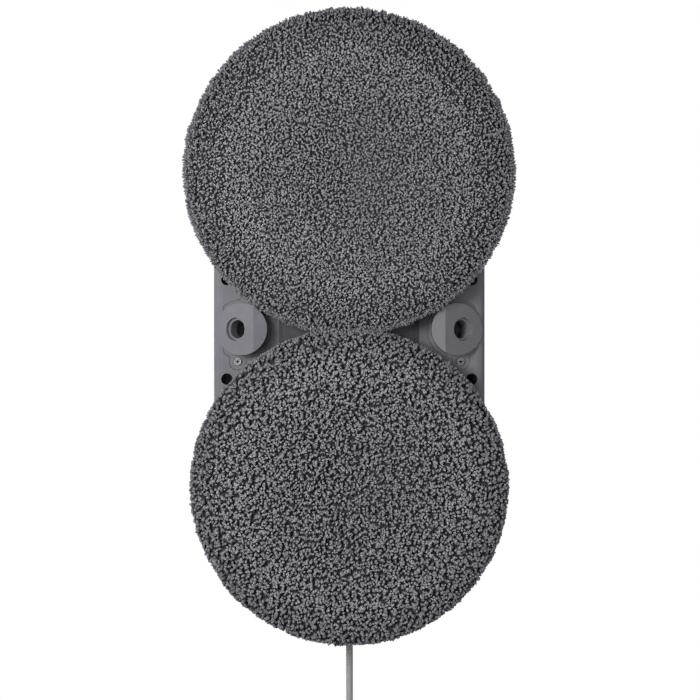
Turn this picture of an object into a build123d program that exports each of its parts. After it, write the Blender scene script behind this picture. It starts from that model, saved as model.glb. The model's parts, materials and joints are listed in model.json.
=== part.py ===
from build123d import *
import os
from math import acos, cos, pi, radians, sin, tan

# Twin-disc robotic floor cleaner, in millimetres. +Z is up and the floor is z = 0.
# The two pads lie along X, the robot travels towards -Y, and the mains lead leaves at -X.
# The origin is on the floor, midway between the two pads.

# Pads and their holders
PAD_D = 299
PAD_SPACING = 300
PAD_TOP = 20
PAD_RIM_TOP = 27
PAD_EDGE_R = 8
HOLDER_D = 281
HOOK_T = 1.5
HOLDER_TOP = 30
SPIN_X = PAD_SPACING / 2

# Casing
CASING_L = 532
CASING_W = 262
BASE_Z = 36
SPLIT_Z = 75
SEAL_T = 2
ROOF_Z = 152
WALL = 3
BASE_EDGE_R = 9
ROOF_EDGE_R = 18
FLOOR_Z = BASE_Z + WALL
CEILING_Z = ROOF_Z - WALL

# Spindles
SHAFT_D = 15
SHAFT_FIT = 0.05
FLANGE_D = 60
FLANGE_TOP = 34
SHAFT_TOP = 73.5
BEARING_D = 32
BEARING_H = 9
LOWER_BEARING_Z = 42
UPPER_BEARING_Z = 53
BEARING_TOP = UPPER_BEARING_Z + BEARING_H

# Two-stage spur gear train: motor pinion, idler wheel and pinion, spindle wheel
MODULE = 1.0
WHEEL_TEETH = 64
PINION_TEETH = 16
PRESSURE_ANGLE = radians(20)
TOOTH_THINNING = 0.12
GEAR_CENTRES = MODULE * (WHEEL_TEETH + PINION_TEETH) / 2
IDLER_X = SPIN_X - GEAR_CENTRES
MOTOR_X = IDLER_X - GEAR_CENTRES
SPINDLE_GEAR_Z = (64, 72)
IDLER_PINION_Z = (63, 75)
IDLER_WHEEL_Z = (75, 82)
MOTOR_PINION_Z = (74, 83)
PIN_D = 8
PLATE_Z = 86
PLATE_T = 3
POSTS = [(60, 40), (60, -40), (140, 42), (140, -42)]
MOTOR_D = 42
MOTOR_H = 36
MOTOR_SHAFT_D = 5

# Edge-sensor turrets, one each side, looking outward and down between the pads
TURRET_Y = 103.5
TURRET_R = 25
TURRET_LOW_Z = 11
RIDGE_Y = 91.5
FACE_SLOPE = 35
INNER_SLOPE = 12
BORE_Y = 109.2
BORE_D = 17.6
MOUTH_D = 22.4
MOUTH_DEPTH = 3.8
FLANGE_R = 28.2
TAB_SPOT = (-31, 107.5)
TAB_R = 8
GAP = 0.35

# Hatch between the spindles, and the deep wells of the case screws
HATCH_X = 53
HATCH_Y = 67.2
HATCH_STEP = 4.7
WELL_SPOTS = [(48, 118), (48, -118), (-48, 118), (-48, -118)]
WELL_D = 11.1
WELL_TOP = 62

# Folding handle in its recess, controls, and the mains lead
RECESS_FLOOR = 134
RECESS_X = 82
RECESS_Y = (-14, 86)
HANDLE_PIVOT_Z = 143
HANDLE_REACH = 58
HANDLE_X = 80
PANEL_SPOT = (0, -62)
START_SPOT = (0, -62)
MODE_SPOT = (40, -62)
WINDOW_SPOT = (-40, -62)
ROCKER_X = -200
EXIT_Z = 60
GLAND_TIP_X = -296
CORD_D = 7.0
COIL_X = -525
COIL_PITCH = 7.3
COIL_INNER_TURN = 33.75
COIL_TURNS_ACROSS = 4
COIL_OUTER_TURN = COIL_INNER_TURN + COIL_PITCH * (COIL_TURNS_ACROSS - 1)
COIL_Y = COIL_OUTER_TURN
COIL_BASE = 1.0
COIL_TOP = COIL_BASE + 4 * COIL_PITCH

LOW = (Align.CENTER, Align.CENTER, Align.MIN)
SIDES = (1, -1)


def both_ends(spots):
    """The spots and their mirror images across X = 0."""
    return list(spots) + [(-x, y) for x, y in spots]


def bars(spots, radius, bottom, top, mode=Mode.ADD):
    """Upright round bars, or holes, at the spots of the open part."""
    with Locations(*[(x, y, bottom) for x, y in spots]):
        Cylinder(radius, top - bottom, align=LOW, mode=mode)


def block(x_span, y_span, z_span, mode=Mode.ADD):
    """A block of the open part between two values on each axis."""
    low = (x_span[0], y_span[0], z_span[0])
    with Locations(low):
        Box(
            x_span[1] - x_span[0],
            y_span[1] - y_span[0],
            z_span[1] - z_span[0],
            align=Align.MIN,
            mode=mode,
        )


def casing_plan(z, inset=0.0):
    """The stadium outline of the casing at a height, drawn in by an inset."""
    with BuildSketch(Plane.XY.offset(z), mode=Mode.PRIVATE) as plan:
        SlotOverall(CASING_L - 2 * inset, CASING_W - 2 * inset)
    return plan.sketch


def pan_screws(spots, seat, up, head_d, head_h, shank_d, length):
    """Cross-head pan screws of the open part. Their heads sit on z = seat and up is +1 or -1."""
    for x, y in spots:
        seat_plane = Plane(origin=(x, y, seat), x_dir=(1, 0, 0), z_dir=(0, 0, -up))
        with BuildSketch(seat_plane, mode=Mode.PRIVATE) as head:
            Circle(head_d / 2)
        extrude(head.sketch, amount=head_h)
        with BuildSketch(seat_plane, mode=Mode.PRIVATE) as shank:
            Circle(shank_d / 2)
        extrude(shank.sketch, amount=-length)
        crown = Plane(origin=(x, y, seat - up * head_h), x_dir=(1, 0, 0), z_dir=(0, 0, up))
        with BuildSketch(crown, mode=Mode.PRIVATE) as cross:
            Rectangle(head_d * 0.56, head_d * 0.15)
            Rectangle(head_d * 0.15, head_d * 0.56)
        extrude(cross.sketch, amount=head_h * 0.6, mode=Mode.SUBTRACT)


def involute(angle):
    return tan(angle) - angle


def gear_profile(teeth, gap_first):
    """A spur gear outline, each flank an arc through three involute points."""
    pitch_r = MODULE * teeth / 2
    base_r = pitch_r * cos(PRESSURE_ANGLE)
    root_r = pitch_r - 1.25 * MODULE
    tip_r = pitch_r + MODULE
    half_pitch = pi / teeth

    def half_tooth(r):
        lean = involute(acos(min(1.0, base_r / r))) - involute(PRESSURE_ANGLE)
        return half_pitch / 2 - TOOTH_THINNING / (2 * pitch_r) - lean

    def at(r, angle):
        return (r * cos(angle), r * sin(angle))

    start_r = max(root_r, base_r)
    middle_r = (start_r + tip_r) / 2
    with BuildSketch(mode=Mode.PRIVATE) as profile:
        with BuildLine():
            for tooth in range(teeth):
                a = (2 * tooth + (1 if gap_first else 0)) * half_pitch
                foot, waist, tip = (half_tooth(r) for r in (start_r, middle_r, tip_r))
                if root_r < base_r:
                    Line(at(root_r, a - foot), at(start_r, a - foot))
                ThreePointArc(at(start_r, a - foot), at(middle_r, a - waist), at(tip_r, a - tip))
                ThreePointArc(at(tip_r, a - tip), at(tip_r, a), at(tip_r, a + tip))
                ThreePointArc(at(tip_r, a + tip), at(middle_r, a + waist), at(start_r, a + foot))
                if root_r < base_r:
                    Line(at(start_r, a + foot), at(root_r, a + foot))
                after = a + 2 * half_pitch - foot
                ThreePointArc(at(root_r, a + foot), at(root_r, a + half_pitch), at(root_r, after))
        make_face()
    return profile.sketch


def corner_radii(route):
    """For each corner of a cord's route, the largest arc that its two runs allow."""
    radii = []
    for before, here, after in zip(route, route[1:], route[2:], strict=False):
        run_in, run_out = Vector(*here) - Vector(*before), Vector(*after) - Vector(*here)
        turn = radians(run_in.get_angle(run_out))
        radii.append(0.45 * min(run_in.length, run_out.length) / tan(turn / 2))
    return radii


def tube(route, diameter):
    """A round cord of the open part along a route, its corners turned as arcs."""
    start, heading = Vector(*route[0]), Vector(*route[1]) - Vector(*route[0])
    with BuildLine(mode=Mode.PRIVATE) as path:
        FilletPolyline(*route, radius=corner_radii(route))
    with BuildSketch(Plane(origin=start, z_dir=heading), mode=Mode.PRIVATE) as section:
        Circle(diameter / 2)
    sweep(section.sketch, path=path.line)
    return path.wire().length


pieces = []
left_pieces = []

# ---------------------------------------------------------------- base pan

with BuildPart() as pan_body:
    extrude(casing_plan(BASE_Z), amount=SPLIT_Z - BASE_Z)
    fillet(pan_body.faces().sort_by(Axis.Z)[0].edges(), BASE_EDGE_R)

with BuildPart() as pan_skin:
    add(pan_body.part)
    offset(amount=-WALL, openings=pan_skin.faces().sort_by(Axis.Z)[-1])

HATCH_OPENING = (HATCH_X - HATCH_STEP, HATCH_Y - HATCH_STEP)
HATCH_SCREWS = [(x * (HATCH_OPENING[0] - 3), y * (HATCH_OPENING[1] - 3)) for x in SIDES for y in SIDES]
BOARD_POSTS = [(44 * x, 73 * y) for x in SIDES for y in SIDES]
POWER_BOARD_Z = 56

with BuildPart() as base_pan:
    add(pan_skin.part)
    bars(both_ends([(SPIN_X, 0)]), 22, BASE_Z, BEARING_TOP)
    bars(both_ends([(IDLER_X, 0)]), 7, FLOOR_Z - 1, BEARING_TOP + 0.7)
    bars(both_ends(POSTS), 4.5, FLOOR_Z - 1, PLATE_Z)
    bars(BOARD_POSTS, 4, FLOOR_Z - 1, POWER_BOARD_Z)
    bars(WELL_SPOTS, 7.3, FLOOR_Z - 1, WELL_TOP + 4)
    # frame round the hatch opening, with the four hatch screw bosses
    outer, inner = (HATCH_X + 3, HATCH_Y + 3), HATCH_OPENING
    block((-outer[0], outer[0]), (-outer[1], outer[1]), (FLOOR_Z - 1, FLOOR_Z + 5))
    block((-inner[0], inner[0]), (-inner[1], inner[1]), (BASE_Z, FLOOR_Z + 5), Mode.SUBTRACT)
    bars(HATCH_SCREWS, 4.5, BASE_Z + 2, FLOOR_Z + 9)
    for side in SIDES:
        # shelf that the turret and its screw tab bear on
        shelf_y = sorted((side * 78, side * 124))
        block((-46, 34), shelf_y, (FLOOR_Z, FLOOR_Z + 3))
        bars([(TAB_SPOT[0], side * TAB_SPOT[1])], 4.5, FLOOR_Z, FLOOR_Z + 13)
    # cuts
    bars(both_ends([(SPIN_X, 0)]), BEARING_D / 2, BASE_Z, LOWER_BEARING_Z + BEARING_H, Mode.SUBTRACT)
    bars(both_ends([(SPIN_X, 0)]), 13, BASE_Z, BEARING_TOP, Mode.SUBTRACT)
    bars(both_ends([(SPIN_X, 0)]), BEARING_D / 2, UPPER_BEARING_Z, BEARING_TOP, Mode.SUBTRACT)
    bars(both_ends([(IDLER_X, 0)]), PIN_D / 2, FLOOR_Z + 4, BEARING_TOP + 1, Mode.SUBTRACT)
    block((-HATCH_X, HATCH_X), (-HATCH_Y, HATCH_Y), (BASE_Z, BASE_Z + 2), Mode.SUBTRACT)
    bars(HATCH_SCREWS, 1.25, BASE_Z + 2, FLOOR_Z + 8, Mode.SUBTRACT)
    bars(WELL_SPOTS, WELL_D / 2, BASE_Z, WELL_TOP, Mode.SUBTRACT)
    bars(WELL_SPOTS, 2.2, WELL_TOP, WELL_TOP + 4, Mode.SUBTRACT)
    bars(both_ends(POSTS), 1.25, PLATE_Z - 12, PLATE_Z, Mode.SUBTRACT)
    bars(BOARD_POSTS, 1.25, POWER_BOARD_Z - 10, POWER_BOARD_Z, Mode.SUBTRACT)
    for side in SIDES:
        bars([(TAB_SPOT[0], side * TAB_SPOT[1])], 1.5, FLOOR_Z, FLOOR_Z + 12, Mode.SUBTRACT)
        # seat of the turret flange and tab, and the way through for the sensor tube
        with BuildSketch(Plane.XY.offset(BASE_Z)):
            with Locations((0, side * TURRET_Y)):
                Circle(FLANGE_R + GAP)
            with Locations((TAB_SPOT[0], side * TAB_SPOT[1])):
                Circle(TAB_R + GAP)
            with Locations((TAB_SPOT[0] / 2, side * TAB_SPOT[1])):
                Rectangle(-TAB_SPOT[0], 2 * (TAB_R + GAP))
            with Locations(Location((27, side * 101.5, 0), side * 36)):
                Rectangle(9, 5)
            with Locations((0, side * (121 + GAP + 50))):
                Rectangle(200, 100, mode=Mode.SUBTRACT)
        extrude(amount=WALL, mode=Mode.SUBTRACT)
        block((-13.5, 13.5), sorted((side * 79.5, side * 121)), (BASE_Z, FLOOR_Z + 3), Mode.SUBTRACT)
    # flat boss and hole for the cord gland
    with BuildSketch(Plane.YZ.offset(-CASING_L / 2 - 1.5)):
        with Locations((0, EXIT_Z)):
            Circle(12)
    extrude(amount=6)
    with BuildSketch(Plane.YZ.offset(-CASING_L / 2 - 2)):
        with Locations((0, EXIT_Z)):
            Circle(6)
    extrude(amount=12, mode=Mode.SUBTRACT)
base_pan.part.label = "base_pan"
pieces.append(base_pan)

with BuildPart() as service_hatch:
    reach = (HATCH_X - GAP, HATCH_Y - GAP)
    block((-reach[0], reach[0]), (-reach[1], reach[1]), (BASE_Z, BASE_Z + 1.4))
    inner = (HATCH_X - HATCH_STEP, HATCH_Y - HATCH_STEP)
    block((-inner[0], inner[0]), (-inner[1], inner[1]), (BASE_Z - 0.7, BASE_Z + 1.4))
    fillet(service_hatch.edges().filter_by(Axis.Z), 4)
    bars(HATCH_SCREWS, 3.3, BASE_Z - 0.7, BASE_Z + 0.4, Mode.SUBTRACT)
    bars(HATCH_SCREWS, 1.6, BASE_Z, BASE_Z + 1.4, Mode.SUBTRACT)
service_hatch.part.label = "service_hatch"
pieces.append(service_hatch)

with BuildPart() as hatch_seal:
    with BuildSketch(Plane.XY.offset(BASE_Z + 1.4)):
        Rectangle(2 * HATCH_X - 2, 2 * HATCH_Y - 2)
        Rectangle(2 * HATCH_OPENING[0] + 3, 2 * HATCH_OPENING[1] + 3, mode=Mode.SUBTRACT)
    extrude(amount=0.6)
hatch_seal.part.label = "hatch_seal"
pieces.append(hatch_seal)

# ---------------------------------------------------------------- edge-sensor turrets

BORE_Z = TURRET_LOW_Z + (BORE_Y - RIDGE_Y) * tan(radians(FACE_SLOPE))
INWARD = (0, sin(radians(FACE_SLOPE)), cos(radians(FACE_SLOPE)))


def bore_plane(depth):
    """A plane square to the front sensor bore, at a depth from its mouth."""
    origin = (0, -BORE_Y + INWARD[1] * depth, BORE_Z + INWARD[2] * depth)
    return Plane(origin=origin, x_dir=(1, 0, 0), z_dir=INWARD)


def bore_disc(depth, radius, thickness, mode=Mode.ADD):
    """A round disc or hole of the open part along the front sensor bore."""
    with BuildSketch(bore_plane(depth), mode=Mode.PRIVATE) as disc:
        Circle(radius)
    extrude(disc.sketch, amount=thickness, mode=mode)


# boss: steep sensor face outward, gentle face inward, its back fitted to the base
face_run = (BASE_Z - TURRET_LOW_Z) / tan(radians(FACE_SLOPE))
inner_y = TURRET_Y - TURRET_R
inner_z = TURRET_LOW_Z + (RIDGE_Y - inner_y) * tan(radians(INNER_SLOPE))
with BuildPart() as turret_boss:
    with BuildSketch(Plane.YZ.offset(-TURRET_R)):
        with BuildLine():
            Polyline(
                (-RIDGE_Y, TURRET_LOW_Z),
                (-inner_y, inner_z),
                (-inner_y, BASE_Z + 8),
                (-RIDGE_Y - face_run - 2, BASE_Z + 8),
                (-RIDGE_Y - face_run - 2, BASE_Z + 1.4),
                close=True,
            )
        make_face()
    extrude(amount=2 * TURRET_R)
    with Locations((0, -TURRET_Y, 0)):
        Cylinder(TURRET_R, 60, align=LOW, mode=Mode.INTERSECT)
    add(pan_body.part, mode=Mode.SUBTRACT)

with BuildPart() as front_turret:
    # flange and screw tab, flush in the base
    with BuildSketch(Plane.XY.offset(BASE_Z)):
        with Locations((0, -TURRET_Y)):
            Circle(FLANGE_R)
        with Locations((TAB_SPOT[0], -TAB_SPOT[1])):
            Circle(TAB_R)
        with Locations((TAB_SPOT[0] / 2, -TAB_SPOT[1])):
            Rectangle(-TAB_SPOT[0], 2 * TAB_R)
        with Locations(Location((27, -101.5, 0), -36)):
            Rectangle(9 - 2 * GAP, 5 - 2 * GAP)
        with Locations((0, -121 - 50)):
            Rectangle(200, 100, mode=Mode.SUBTRACT)
    extrude(amount=WALL)
    add(turret_boss.part)
    bore_disc(10, 12.3, 24)
    bore_disc(-12, MOUTH_D / 2, 12 + MOUTH_DEPTH, Mode.SUBTRACT)
    bore_disc(0, BORE_D / 2, 40, Mode.SUBTRACT)
    bars([(TAB_SPOT[0], -TAB_SPOT[1])], 1.7, BASE_Z, FLOOR_Z, Mode.SUBTRACT)
front_turret.part.label = "front_turret"
pieces.append(front_turret)

with BuildPart() as rear_turret:
    mirror(front_turret.part, about=Plane.XZ)
rear_turret.part.label = "rear_turret"
pieces.append(rear_turret)

with BuildPart() as sensor_lenses:
    bore_disc(13, BORE_D / 2, 2)
    mirror(about=Plane.XZ)
sensor_lenses.part.label = "sensor_lenses"
pieces.append(sensor_lenses)

with BuildPart() as sensor_boards:
    bore_disc(27, BORE_D / 2, 1.6)
    # emitter above, receiver below
    for x in (-4, 4):
        spot = bore_plane(20).from_local_coords(Vector(x, 0, 0))
        with BuildSketch(Plane(origin=spot, z_dir=INWARD), mode=Mode.PRIVATE) as lamp:
            Circle(2.5)
        extrude(lamp.sketch, amount=7)
    mirror(about=Plane.XZ)
sensor_boards.part.label = "sensor_boards"
pieces.append(sensor_boards)

# ---------------------------------------------------------------- top shell

BOSS_SPOTS = [(-44, -30), (44, -30), (-44, -100), (44, -100)]
CONTROL_BOARD_Z = (126, 127.6)
SHELL_Z = SPLIT_Z + SEAL_T
with BuildPart() as top_shell:
    extrude(casing_plan(SHELL_Z), amount=ROOF_Z - SHELL_Z)
    fillet(top_shell.faces().sort_by(Axis.Z)[-1].edges(), ROOF_EDGE_R)
    offset(amount=-WALL, openings=top_shell.faces().sort_by(Axis.Z)[0])
    # case screw bosses, down to the wells
    bars(WELL_SPOTS, 5, WELL_TOP + 4, CEILING_Z + 1)
    bars(WELL_SPOTS, 1.9, WELL_TOP + 4, WELL_TOP + 30, Mode.SUBTRACT)
    bars(BOSS_SPOTS, 3.5, CONTROL_BOARD_Z[1], CEILING_Z + 1)
    bars(BOSS_SPOTS, 1.25, CONTROL_BOARD_Z[1], CONTROL_BOARD_Z[1] + 12, Mode.SUBTRACT)
    # handle recess, with a boss round each hinge pin
    walls = (RECESS_X + WALL, RECESS_Y[0] - WALL, RECESS_Y[1] + WALL)
    block((-walls[0], walls[0]), (walls[1], walls[2]), (RECESS_FLOOR - WALL, CEILING_Z + 1))
    with Locations(Location((0, 0, HANDLE_PIVOT_Z), (0, 90, 0))):
        Cylinder(6, 2 * RECESS_X + 18)
    with BuildSketch(Plane.XY.offset(RECESS_FLOOR)):
        with Locations((0, (RECESS_Y[0] + RECESS_Y[1]) / 2)):
            RectangleRounded(2 * RECESS_X, RECESS_Y[1] - RECESS_Y[0], 10)
    extrude(amount=ROOF_Z - RECESS_FLOOR, mode=Mode.SUBTRACT)
    with Locations(Location((0, 0, HANDLE_PIVOT_Z), (0, 90, 0))):
        Cylinder(3, 2 * RECESS_X + 16, mode=Mode.SUBTRACT)
    # seat of the control panel, and the holes of the controls
    with BuildSketch(Plane.XY.offset(ROOF_Z - 0.8)):
        with Locations(PANEL_SPOT):
            RectangleRounded(140, 50, 12)
    extrude(amount=0.8, mode=Mode.SUBTRACT)
    bars([START_SPOT], 15, CEILING_Z - 1, ROOF_Z, Mode.SUBTRACT)
    bars([MODE_SPOT], 8, CEILING_Z - 1, ROOF_Z, Mode.SUBTRACT)
    bars([WINDOW_SPOT], 6, CEILING_Z - 1, ROOF_Z, Mode.SUBTRACT)
    block((ROCKER_X - 14.5, ROCKER_X + 14.5), (-9.5, 9.5), (CEILING_Z - 1, ROOF_Z), Mode.SUBTRACT)
    # cooling slots low in both long sides, by the motors
    with Locations(*[(x, 0, 96) for x in range(-186, 187, 12) if 60 < abs(x)]):
        Box(4, CASING_W + 2, 22, align=LOW, mode=Mode.SUBTRACT)
top_shell.part.label = "top_shell"
pieces.append(top_shell)

with BuildPart() as housing_seal:
    extrude(casing_plan(SPLIT_Z, 0.5), amount=SEAL_T)
    extrude(casing_plan(SPLIT_Z, WALL), amount=SEAL_T, mode=Mode.SUBTRACT)
housing_seal.part.label = "housing_seal"
pieces.append(housing_seal)

# ---------------------------------------------------------------- drive, left side

with BuildPart() as spindle_bearings:
    bore_r = SHAFT_D / 2 + SHAFT_FIT
    for bottom in (LOWER_BEARING_Z, UPPER_BEARING_Z):
        with BuildSketch(Plane.XZ):
            with Locations((SPIN_X + (BEARING_D / 2 + bore_r) / 2, bottom + BEARING_H / 2)):
                Rectangle(BEARING_D / 2 - bore_r, BEARING_H)
            # shields sit a little below the rings
            for face in (bottom, bottom + BEARING_H):
                with Locations((SPIN_X + 12, face)):
                    Rectangle(3.4, 1, mode=Mode.SUBTRACT)
        revolve(axis=Axis((SPIN_X, 0, 0), (0, 0, 1)))
    mirror(about=Plane.YZ)
spindle_bearings.part.label = "spindle_bearings"
pieces.append(spindle_bearings)

with BuildPart() as shaft_seals:
    bars(both_ends([(SPIN_X, 0)]), BEARING_D / 2, BASE_Z + 0.5, BASE_Z + 5.5)
    bars(both_ends([(SPIN_X, 0)]), SHAFT_D / 2 + SHAFT_FIT, BASE_Z, BASE_Z + 6, Mode.SUBTRACT)
shaft_seals.part.label = "shaft_seals"
pieces.append(shaft_seals)

HUB_SCREWS = [(SPIN_X + 22 * cos(radians(a)), 22 * sin(radians(a))) for a in (45, 135, 225, 315)]
with BuildPart() as left_spindle:
    bars([(SPIN_X, 0)], FLANGE_D / 2, HOLDER_TOP, FLANGE_TOP)
    bars([(SPIN_X, 0)], SHAFT_D / 2, FLANGE_TOP, SHAFT_TOP)
    chamfer(left_spindle.faces().sort_by(Axis.Z)[-1].edges(), 0.8)
    bars(HUB_SCREWS, 1.65, HOLDER_TOP, FLANGE_TOP, Mode.SUBTRACT)
left_spindle.part.label = "left_spindle"
left_pieces.append(left_spindle)

with BuildPart() as left_pad_holder:
    bottom = PAD_TOP + HOOK_T
    bars([(SPIN_X, 0)], HOLDER_D / 2 - GAP, bottom, HOLDER_TOP)
    # ribs and rim on the upper face
    with BuildSketch(Plane.XY.offset(HOLDER_TOP)):
        with Locations((SPIN_X, 0)):
            Circle(HOLDER_D / 2 - 1.5)
            Circle(HOLDER_D / 2 - 4.5, mode=Mode.SUBTRACT)
            Circle(34)
            with PolarLocations(0, 12):
                with Locations((HOLDER_D / 4, 0)):
                    Rectangle(HOLDER_D / 2 - 6, 2.4)
            Circle(FLANGE_D / 2 + 0.2, mode=Mode.SUBTRACT)
    extrude(amount=2.5)
    bars(HUB_SCREWS, 4.2, bottom, bottom + 4.5, Mode.SUBTRACT)
    bars(HUB_SCREWS, 1.65, bottom, HOLDER_TOP, Mode.SUBTRACT)
left_pad_holder.part.label = "left_pad_holder"
left_pieces.append(left_pad_holder)

with BuildPart() as left_holder_screws:
    pan_screws(HUB_SCREWS, PAD_TOP + HOOK_T + 4.5, 1, 7, 2.4, 3.3, FLANGE_TOP - PAD_TOP - HOOK_T - 4.7)
left_holder_screws.part.label = "left_holder_screws"
left_pieces.append(left_holder_screws)

with BuildPart() as left_hook_disc:
    bars([(SPIN_X, 0)], HOLDER_D / 2 - 6, PAD_TOP, PAD_TOP + HOOK_T)
    bars([(SPIN_X, 0)], 30, PAD_TOP, PAD_TOP + HOOK_T, Mode.SUBTRACT)
left_hook_disc.part.label = "left_hook_disc"
left_pieces.append(left_hook_disc)

with BuildPart() as left_pad:
    with BuildSketch(Plane.XZ):
        with BuildLine():
            edge, lip = SPIN_X + PAD_D / 2, SPIN_X + HOLDER_D / 2
            Polyline((SPIN_X, PAD_TOP), (SPIN_X, 0), (edge - PAD_EDGE_R, 0))
            RadiusArc((edge - PAD_EDGE_R, 0), (edge, PAD_EDGE_R), -PAD_EDGE_R)
            Line((edge, PAD_EDGE_R), (edge, PAD_RIM_TOP - 4))
            RadiusArc((edge, PAD_RIM_TOP - 4), (edge - 4, PAD_RIM_TOP), -4)
            Polyline((edge - 4, PAD_RIM_TOP), (lip, PAD_RIM_TOP), (lip, PAD_TOP), (SPIN_X, PAD_TOP))
        make_face()
    revolve(axis=Axis((SPIN_X, 0, 0), (0, 0, 1)))
left_pad.part.label = "left_pad"
left_pieces.append(left_pad)

wheel = gear_profile(WHEEL_TEETH, gap_first=False)
pinion = gear_profile(PINION_TEETH, gap_first=True)


def gear(profile, x, z_span):
    """A gear of the open part, its tooth facing the neighbour it turns."""
    extrude(profile.moved(Location((x, 0, z_span[0]))), amount=z_span[1] - z_span[0])


def lightening(x, z_span):
    """Six round holes through the web of a wheel."""
    with Locations((x, 0, z_span[0])):
        with PolarLocations(20, 6):
            Cylinder(6, z_span[1] - z_span[0], align=LOW, mode=Mode.SUBTRACT)


with BuildPart() as left_spindle_gear:
    gear(wheel, SPIN_X, SPINDLE_GEAR_Z)
    lightening(SPIN_X, SPINDLE_GEAR_Z)
    bars([(SPIN_X, 0)], 10, BEARING_TOP + 0.3, SPINDLE_GEAR_Z[1])
    bars([(SPIN_X, 0)], SHAFT_D / 2, BEARING_TOP, SPINDLE_GEAR_Z[1], Mode.SUBTRACT)
left_spindle_gear.part.label = "left_spindle_gear"
left_pieces.append(left_spindle_gear)

with BuildPart() as left_idler_gear:
    gear(pinion, IDLER_X, IDLER_PINION_Z)
    gear(wheel, IDLER_X, IDLER_WHEEL_Z)
    lightening(IDLER_X, IDLER_WHEEL_Z)
    bars([(IDLER_X, 0)], PIN_D / 2 + 0.05, IDLER_PINION_Z[0], IDLER_WHEEL_Z[1], Mode.SUBTRACT)
left_idler_gear.part.label = "left_idler_gear"
left_pieces.append(left_idler_gear)

with BuildPart() as idler_pins:
    bars(both_ends([(IDLER_X, 0)]), PIN_D / 2, FLOOR_Z + 4, PLATE_Z + PLATE_T)
    chamfer(idler_pins.edges().filter_by(GeomType.CIRCLE), 0.5)
idler_pins.part.label = "idler_pins"
pieces.append(idler_pins)

with BuildPart() as left_gear_plate:
    with BuildSketch(Plane.XY.offset(PLATE_Z)):
        with BuildLine():
            Polyline((52, 48), (136, 50), (148, 42), (148, -42), (136, -50), (52, -48), close=True)
        make_face()
    extrude(amount=PLATE_T)
    fillet(left_gear_plate.edges().filter_by(Axis.Z), 4)
    bars([(IDLER_X, 0)], 7, IDLER_WHEEL_Z[1] + 0.3, PLATE_Z)
    bars([(IDLER_X, 0)], PIN_D / 2, IDLER_WHEEL_Z[1], PLATE_Z + PLATE_T, Mode.SUBTRACT)
    bars([(MOTOR_X, 0)], 11, PLATE_Z, PLATE_Z + PLATE_T, Mode.SUBTRACT)
    bars(POSTS, 1.6, PLATE_Z, PLATE_Z + PLATE_T, Mode.SUBTRACT)
left_gear_plate.part.label = "left_gear_plate"
left_pieces.append(left_gear_plate)

MOTOR_Z = PLATE_Z + PLATE_T
with BuildPart() as left_motor_can:
    bars([(MOTOR_X, 0)], MOTOR_D / 2, MOTOR_Z, MOTOR_Z + MOTOR_H)
    fillet(left_motor_can.faces().sort_by(Axis.Z)[-1].edges(), 3)
    bars([(MOTOR_X, 0)], MOTOR_D / 2 - 1.5, MOTOR_Z + 2, MOTOR_Z + MOTOR_H - 2, Mode.SUBTRACT)
    bars([(MOTOR_X, 0)], 7, MOTOR_Z + 1, MOTOR_Z + 5)
    bars([(MOTOR_X, 0)], 7, MOTOR_Z + MOTOR_H - 5, MOTOR_Z + MOTOR_H + 1.5)
    shaft_hole = MOTOR_SHAFT_D / 2 + SHAFT_FIT
    bars([(MOTOR_X, 0)], shaft_hole, MOTOR_Z - 1, MOTOR_Z + MOTOR_H - 1, Mode.SUBTRACT)
left_motor_can.part.label = "left_motor_can"
left_pieces.append(left_motor_can)

with BuildPart() as left_armature:
    bars([(MOTOR_X, 0)], MOTOR_SHAFT_D / 2, MOTOR_PINION_Z[0], MOTOR_Z + MOTOR_H - 1.5)
    with BuildSketch(Plane.XY.offset(MOTOR_Z + 7)):
        with Locations((MOTOR_X, 0)):
            Circle(15)
            with PolarLocations(14, 7):
                Rectangle(6, 2.4, mode=Mode.SUBTRACT)
    extrude(amount=18)
    bars([(MOTOR_X, 0)], 6, MOTOR_Z + 25, MOTOR_Z + MOTOR_H - 5.4)
left_armature.part.label = "left_armature"
left_pieces.append(left_armature)

with BuildPart() as left_motor_pinion:
    gear(pinion, MOTOR_X, MOTOR_PINION_Z)
    bars([(MOTOR_X, 0)], MOTOR_SHAFT_D / 2, MOTOR_PINION_Z[0], MOTOR_PINION_Z[1], Mode.SUBTRACT)
left_motor_pinion.part.label = "left_motor_pinion"
left_pieces.append(left_motor_pinion)

for left_piece in left_pieces:
    with BuildPart() as right_piece:
        mirror(left_piece.part, about=Plane.YZ)
    right_piece.part.label = left_piece.part.label.replace("left", "right")
    pieces += [left_piece, right_piece]

# ---------------------------------------------------------------- screws inside and under the casing

with BuildPart() as turret_screws:
    tab_spots = [(TAB_SPOT[0], side * TAB_SPOT[1]) for side in SIDES]
    pan_screws(tab_spots, BASE_Z, 1, 6.9, 2.4, 3.0, 14)
turret_screws.part.label = "turret_screws"
pieces.append(turret_screws)

with BuildPart() as case_screws:
    pan_screws(WELL_SPOTS, WELL_TOP, 1, 8, 3, 3.8, 24)
case_screws.part.label = "case_screws"
pieces.append(case_screws)

with BuildPart() as hatch_screws:
    pan_screws(HATCH_SCREWS, BASE_Z + 0.4, 1, 5.5, 1.8, 2.5, 8)
hatch_screws.part.label = "hatch_screws"
pieces.append(hatch_screws)

with BuildPart() as gear_plate_screws:
    pan_screws(both_ends(POSTS), PLATE_Z + PLATE_T, -1, 5.5, 2.2, 2.5, 12)
gear_plate_screws.part.label = "gear_plate_screws"
pieces.append(gear_plate_screws)

# ---------------------------------------------------------------- electronics

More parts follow.
